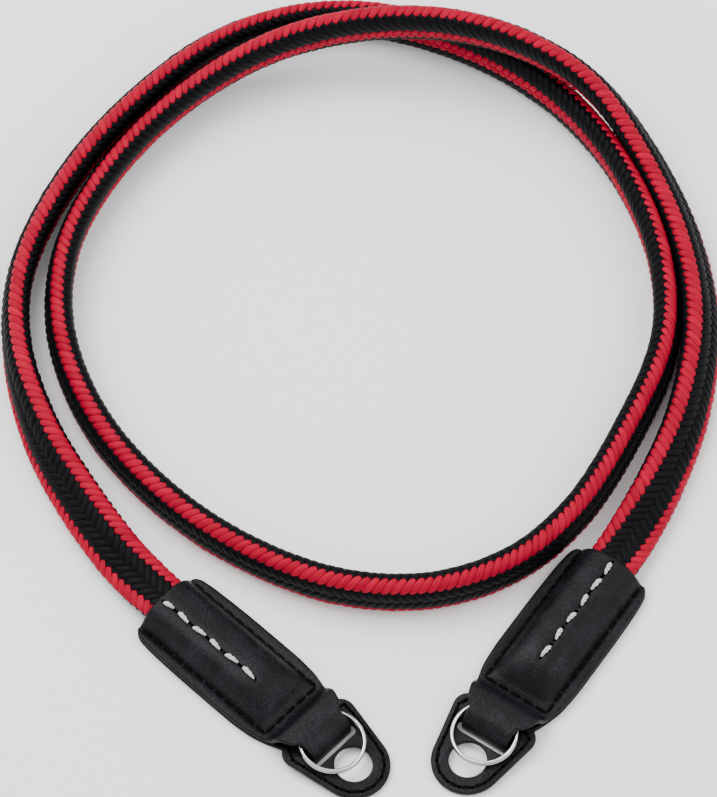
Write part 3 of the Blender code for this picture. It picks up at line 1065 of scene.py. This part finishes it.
@dataclass
class Guard:
    """The flat leather plate between the ring and the camera, with its slot and lug hole."""

    place: EndPlace
    width: float = 0.0220
    corner: float = 0.0036
    back: float = 0.0078
    lug_hole: float = 0.0090
    slot_length: float = 0.0142
    slot_width: float = 0.0028
    slot_show: float = 0.0004
    edge: float = 0.00035
    seam_inset: float = 0.0014
    # Size of the dark beads that paint shade into the seam's holes.
    hole_shade_size: float = 0.00044

    def build(self, leather: Material, thread: Material, hole: Material) -> None:
        """The plate with rounded edges, its rim seam and dark beads of painted shade in the seam's
        holes.
        """
        lug = self._arc((LUG_REACH, 0), self.lug_hole / 2, 360, 0, 40)[:-1]
        curve = bpy.data.curves.new("guard_outline", "CURVE")
        curve.dimensions = "2D"
        curve.fill_mode = "BOTH"
        curve.extrude = GUARD_THICKNESS / 2 - self.edge
        curve.bevel_depth = self.edge
        curve.bevel_resolution = 3
        curve.offset = -self.edge
        for points in (self._outline(0), self._slot(), lug):
            spline = curve.splines.new("POLY")
            spline.points.add(len(points) - 1)
            for held, (x, y) in zip(spline.points, points):
                held.co = (x, y, 0, 1)
            spline.use_cyclic_u = True
        bm = skin_of(curve)
        bmesh.ops.transform(bm, matrix=self.place.seat_frame, verts=bm.verts)
        plate = finished(f"{self.place.name}_guard_leather", bm, leather)
        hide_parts(f"{self.place.name}_guard")
        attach(plate, "root")
        self._build_seam(thread, hole)

    def _build_seam(self, thread: Material, hole: Material) -> None:
        """The black stitches inside the rim, on the top face, and painted shade in their holes."""
        seam = Seam(0.0031, 0.00040, bare=0.16, rise=0.00008, sink=0.0004)
        path = np.array(self._outline(self.seam_inset))
        path = np.vstack([path, path[:1]])
        at = lengths_along(path)
        even = np.linspace(0, at[-1], round(at[-1] / seam.pitch) + 1)
        spots = np.column_stack([np.interp(even, at, column) for column in path.T])
        short = np.diff(spots, axis=0) * seam.bare / 2
        stitches = list(zip(spots[:-1] + short, spots[1:] - short))

        def face(x: Array, y: Array, lift: Array) -> Array:
            return np.stack([x, y, GUARD_THICKNESS / 2 + lift], axis=-1)

        name, to = self.place.name, self.place.seat_frame
        lines = [moved(line, to) for line in seam.lines(stitches, face)]
        stitched = wires(f"{name}_guard_seam", lines, seam.thread, thread, seam.swell)
        # Flat dark beads in the seam's holes: painted shade.
        bm = bmesh.new()
        flat = Matrix.Diagonal((1, 1, 0.14, 1))
        for x, y in spots[:-1]:
            spot_frame = to @ Matrix.Translation((x, y, GUARD_THICKNESS / 2))
            add_bead(bm, self.hole_shade_size, spot_frame @ flat)
        hole_shade_beads = finished(f"{name}_guard_hole_shades", bm, hole)
        for piece in (stitched, hole_shade_beads):
            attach(piece, "root")

    def _outline(self, inset: float) -> list[Pair]:
        """A D with round corners, moved in by an inset."""
        nose, corner = GUARD_NOSE - inset, self.corner - inset
        corner_x, corner_y = self.corner - self.back, self.width / 2 - self.corner
        reach = math.hypot(LUG_REACH - corner_x, corner_y)
        lean = math.degrees(math.atan2(corner_y, LUG_REACH - corner_x))
        flank = 90 - lean + math.degrees(math.asin((nose - corner) / reach))
        points = self._arc((LUG_REACH, 0), nose, -flank, flank, 36)
        points += self._arc((corner_x, corner_y), corner, flank, 180, 12)
        return points + self._arc((corner_x, -corner_y), corner, 180, 360 - flank, 12)

    def _slot(self) -> list[Pair]:
        """The slot that the neck goes down through, wound the other way."""
        end = self.slot_width / 2
        reach = self.slot_length / 2 - end
        points = self._arc((self.slot_show, reach), end, 0, 180, 10)
        return (points + self._arc((self.slot_show, -reach), end, 180, 360, 10))[::-1]

    @staticmethod
    def _arc(centre: Pair, radius: float, start: float, end: float, steps: int) -> list[Pair]:
        """Points on an arc, by its angles in degrees."""
        turns = np.radians(np.linspace(start, end, steps + 1))
        x, y = centre
        return [(x + radius * math.cos(t), y + radius * math.sin(t)) for t in turns]


@dataclass
class SplitRing:
    """Nearly two flat turns of bright wire, one on the other, with a short climb between them."""

    place: EndPlace
    diameter: float = 0.0160
    wire: float = 0.0009
    turns: float = 1.84
    turn_gap: float = 0.00003
    climb: Pair = (0.86, 0.98)
    back: float = 0.0001

    def build(self, steel: Material) -> None:
        """The ring as one coiled wire."""
        radius = (self.diameter - self.wire) / 2
        turn = np.linspace(0, self.turns, round(72 * self.turns) + 1)
        angle = math.radians(self.place.ring_split) + 2 * math.pi * turn
        low = GUARD_THICKNESS / 2 + GAP / 2 + self.wire / 2
        start, end = self.climb
        risen = np.clip((turn - start) / (end - start), 0, 1)
        z = low + (self.wire + self.turn_gap) * risen**2 * (3 - 2 * risen)
        line = np.stack([radius * np.cos(angle) - self.back, radius * np.sin(angle), z], axis=-1)
        line, name = moved(line, self.place.seat_frame), self.place.name
        ring = wires(f"{name}_split_ring", [line], self.wire / 2, steel, sides=5)
        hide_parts(f"{name}_ring")
        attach(ring, "root")


@dataclass
class Studio:
    """Camera, floor and lights."""

    target: tuple[float, float, float] = (-0.0079, 0.0753, 0.0)
    distance: float = 2.0
    elevation: float = math.radians(60)
    seen_height: float = 0.19128
    floor_half: float = 6.0
    sky: float = 1.3

    def build(self) -> None:
        """Makes the camera, the floor and the lights."""
        self._build_camera()
        self._build_floor()
        self._build_lights()

    def _build_camera(self) -> None:
        """A long lens at the photograph's height and side."""
        data = bpy.data.cameras.new("camera")
        data.lens = data.sensor_width / self.seen_height * self.distance
        data.clip_start, data.clip_end = 0.05, 20.0
        camera = linked("camera", data)
        back = Vector((0, -math.cos(self.elevation), math.sin(self.elevation)))
        camera.location = Vector(self.target) + back * self.distance
        camera.rotation_euler = (math.pi / 2 - self.elevation, 0, 0)
        bpy.context.scene.camera = camera

    def _build_floor(self) -> None:
        """A plain pale floor, wide enough for every view."""
        bm = bmesh.new()
        bmesh.ops.create_grid(bm, x_segments=2, y_segments=2, size=self.floor_half)
        paper = matte("floor_paper", 700.0, (0.86, 0.86, 0.86), (0.9, 0.9, 0.9))
        finished("floor", bm, paper)

    def _build_lights(self) -> None:
        """One broad soft light over the left shoulder, a fill from the right, and a pale sky."""
        world = bpy.data.worlds.new("studio_air")
        world.use_nodes = True
        air = world.node_tree.nodes["Background"].inputs
        air["Color"].default_value = (1, 1, 1, 1)
        air["Strength"].default_value = self.sky
        bpy.context.scene.world = world
        for name, place, size, power in (
            ("key", (-0.45, 0.35, 0.95), 0.8, 14.0),
            ("fill", (0.7, -0.1, 0.8), 0.9, 6.0),
        ):
            data = bpy.data.lights.new(name, "AREA")
            data.shape = "SQUARE"
            data.size = size
            data.energy = power
            light = linked(name, data)
            light.location = place
            aim = Vector(self.target) - Vector(place)
            light.rotation_euler = aim.to_track_quat("-Z", "Y").to_euler()


def main() -> None:
    """Builds the scene."""
    logging.basicConfig(level=logging.INFO, format="%(message)s")
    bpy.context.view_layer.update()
    Studio().build()
    red = YarnFinish((0.38, 0.0001, 0.024), (0.2, 0.0, 0.01)).build("red_yarn")
    dark = YarnFinish((0.0022, 0.0022, 0.0034), (0.0008, 0.0008, 0.0012)).build("black_yarn")
    core = matte("core_yarn", 2600.0, (0.001, 0.001, 0.0014), (0.004, 0.0036, 0.0046))
    Braid(Route(ROUTE)).build({Yarn.RED: red, Yarn.BLACK: dark}, core)
    leather = LeatherFinish().build("tab_leather")
    guard_leather = LeatherFinish(grain=1300.0).build("guard_leather")
    black = ThreadFinish((0.0010, 0.0010, 0.0012), (0.0004, 0.0004, 0.0004), 0.6, 0.05)
    black = black.build("black_thread")
    # The white thread's grey tone, placed by noise, is painted shade for the grooves of its twist.
    white = ThreadFinish((0.66, 0.65, 0.63), (0.24, 0.235, 0.23), 0.6, 0.4)
    white = white.build("white_thread")
    # Near-black beads in the awl holes: painted shade where the holes are dark.
    hole = ThreadFinish((0.0006, 0.0006, 0.0006), (0.0003, 0.0003, 0.0003), 0.9, 0.0)
    hole = hole.build("awl_hole_shade")
    steel = SteelFinish().build("ring_steel")
    for place in ENDS:
        tab = LeatherTab(place)
        tab.build(leather)
        TabStitching(tab, Seam(0.0033, 0.00044)).build(black, white, hole)
        Guard(place).build(guard_leather, black, hole)
        SplitRing(place).build(steel)


if __name__ == "__main__":
    main()
